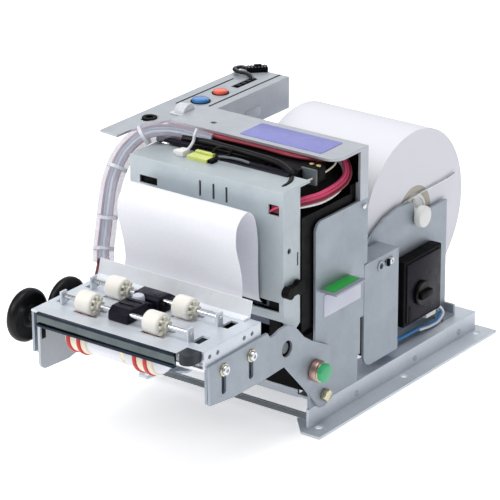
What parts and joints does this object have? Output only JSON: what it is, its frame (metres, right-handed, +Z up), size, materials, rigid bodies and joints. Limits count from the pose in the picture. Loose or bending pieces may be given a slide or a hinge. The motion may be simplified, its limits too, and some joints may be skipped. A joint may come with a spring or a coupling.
{
  "type": "receipt printer",
  "caption": "Open-frame kiosk receipt printer with a large paper roll, a thermal print unit, a control box and a tilting roller presenter.",
  "frame": {"origin": "centre of the four corner mounting holes, on the underside of the base", "axes": "+X along the paper width to the right, +Y to the back, +Z up"},
  "size_m": [0.148, 0.282, 0.1574],
  "materials": {
    "zinc_sheet": "satin",
    "housing_sheet": "satin",
    "sticker": "satin",
    "board": "satin",
    "black_plastic": "satin",
    "knob_rubber": "matte",
    "platen_rubber": "matte",
    "dark_metal": "gloss",
    "bright_steel": "polished",
    "brass": "polished",
    "copper": "satin",
    "green_plastic": "satin",
    "lime_plastic": "satin",
    "white_plastic": "satin",
    "clear_guide": "gloss",
    "cream_plastic": "satin",
    "pinch_white": "matte",
    "ring_red": "satin",
    "paper": "matte",
    "kraft": "matte",
    "lead_red": "satin",
    "lead_white": "satin",
    "lead_blue": "satin",
    "sleeve_clear": "gloss",
    "button_blue": "satin",
    "button_coral": "satin"
  },
  "bodies": {
    "frame": {"base_frame": "zinc_sheet", "right_side_panel": "zinc_sheet", "left_side_panel": "zinc_sheet", "right_leg_plate": "zinc_sheet", "left_leg_plate": "zinc_sheet", "right_roll_plate": "zinc_sheet", "left_roll_plate": "zinc_sheet", "bridge_plate": "zinc_sheet", "labels": "sticker", "control_box": "zinc_sheet", "control_cover": "zinc_sheet", "control_board": "board", "interface_connector": "black_plastic", "printer_housing": "housing_sheet", "printer_body": "black_plastic", "thermal_head": "dark_metal", "head_springs": "bright_steel", "cutter_unit": "dark_metal", "feed_motor": "dark_metal", "red_leads": "lead_red", "white_leads": "lead_white", "sensor_cable": "lead_blue", "near_end_sensor": "black_plastic", "frame_screws": "bright_steel", "sleeve_clamp": "lime_plastic", "pivot_pins": "bright_steel", "sleeve_tube": "sleeve_clear", "paper_loop": "paper"},
    "presenter": {"presenter_plate": "zinc_sheet", "right_arm": "zinc_sheet", "left_arm": "zinc_sheet", "right_roller_plate": "zinc_sheet", "left_roller_plate": "zinc_sheet", "guide_lip": "clear_guide", "front_bar": "dark_metal", "corner_bumper": "black_plastic", "exit_sensor": "black_plastic", "presenter_motor": "dark_metal", "drive_belt": "platen_rubber", "presenter_screws": "brass"},
    "front_drive": {"front_drive_roller": "cream_plastic", "front_drive_rings": "ring_red", "front_knob": "knob_rubber"},
    "rear_drive": {"rear_drive_roller": "cream_plastic", "rear_knob": "knob_rubber"},
    "front_pinch": {"front_pinch_rollers": "pinch_white"},
    "rear_pinch": {"rear_pinch_rollers": "pinch_white"},
    "lock": {"lock_knob": "copper", "lock_cap": "green_plastic"},
    "roll": {"paper_roll": "paper", "roll_core": "kraft", "roll_shaft": "white_plastic"},
    "platen": {"platen_roller": "platen_rubber", "platen_gear": "white_plastic"},
    "pinion": {"motor_pinion": "brass"},
    "cutter": {"cutter_blade": "bright_steel"},
    "release_lever": {"head_lever": "black_plastic"},
    "feed_key": {"feed_button": "button_blue"},
    "reset_key": {"reset_button": "button_coral"},
    "sensor_adjuster": {"sensor_knob": "black_plastic"}
  },
  "joints": [
    {"name": "presenter_tilt", "type": "hinge", "parent": "frame", "child": "presenter", "pos_m": [0, -0.0732, 0.0185], "axis": [1, 0, 0], "range_deg": [0, 20], "deforming": ["paper_loop", "sleeve_tube"]},
    {"name": "front_drive_spin", "type": "hinge", "parent": "presenter", "child": "front_drive", "pos_m": [0, -0.171, 0.0678], "axis": [1, 0, 0], "continuous": true},
    {"name": "rear_drive_spin", "type": "hinge", "parent": "presenter", "child": "rear_drive", "pos_m": [0, -0.146, 0.0678], "axis": [1, 0, 0], "continuous": true},
    {"name": "front_pinch_spin", "type": "hinge", "parent": "presenter", "child": "front_pinch", "pos_m": [0, -0.171, 0.0859], "axis": [1, 0, 0], "continuous": true},
    {"name": "rear_pinch_spin", "type": "hinge", "parent": "presenter", "child": "rear_pinch", "pos_m": [0, -0.146, 0.0859], "axis": [1, 0, 0], "continuous": true},
    {"name": "lock_pull", "type": "slide", "parent": "presenter", "child": "lock", "axis": [1, 0, 0], "range_m": [0, 0.004], "stiffness_N_per_m": 400, "springref_m": -0.001},
    {"name": "roll_spin", "type": "hinge", "parent": "frame", "child": "roll", "pos_m": [0, 0.042, 0.084], "axis": [1, 0, 0], "continuous": true},
    {"name": "platen_spin", "type": "hinge", "parent": "frame", "child": "platen", "pos_m": [0, -0.084, 0.073], "axis": [1, 0, 0], "continuous": true},
    {"name": "pinion_spin", "type": "hinge", "parent": "frame", "child": "pinion", "pos_m": [0, -0.06821, 0.06725], "axis": [1, 0, 0], "continuous": true},
    {"name": "cutter_stroke", "type": "slide", "parent": "frame", "child": "cutter", "axis": [0, 0, -1], "range_m": [0, 0.0048], "stiffness_N_per_m": 400, "springref_m": -0.001},
    {"name": "head_release", "type": "hinge", "parent": "frame", "child": "release_lever", "pos_m": [0.056, -0.093, 0.0885], "axis": [1, 0, 0], "range_deg": [-40, 0]},
    {"name": "feed_press", "type": "slide", "parent": "frame", "child": "feed_key", "axis": [0, 0, -1], "range_m": [0, 0.0015], "stiffness_N_per_m": 300, "springref_m": -0.001},
    {"name": "reset_press", "type": "slide", "parent": "frame", "child": "reset_key", "axis": [0, 0, -1], "range_m": [0, 0.0015], "stiffness_N_per_m": 300, "springref_m": -0.001},
    {"name": "sensor_turn", "type": "hinge", "parent": "frame", "child": "sensor_adjuster", "pos_m": [0.053, 0.0334, 0.041], "axis": [1, 0, 0], "range_deg": [-60, 60]}
  ],
  "couplings": [
    {"joint": "rear_drive_spin", "follows": "front_drive_spin", "ratio": 1},
    {"joint": "front_pinch_spin", "follows": "front_drive_spin", "ratio": -1.8095},
    {"joint": "rear_pinch_spin", "follows": "front_drive_spin", "ratio": -1.8095},
    {"joint": "pinion_spin", "follows": "platen_spin", "ratio": -2.5}
  ]
}
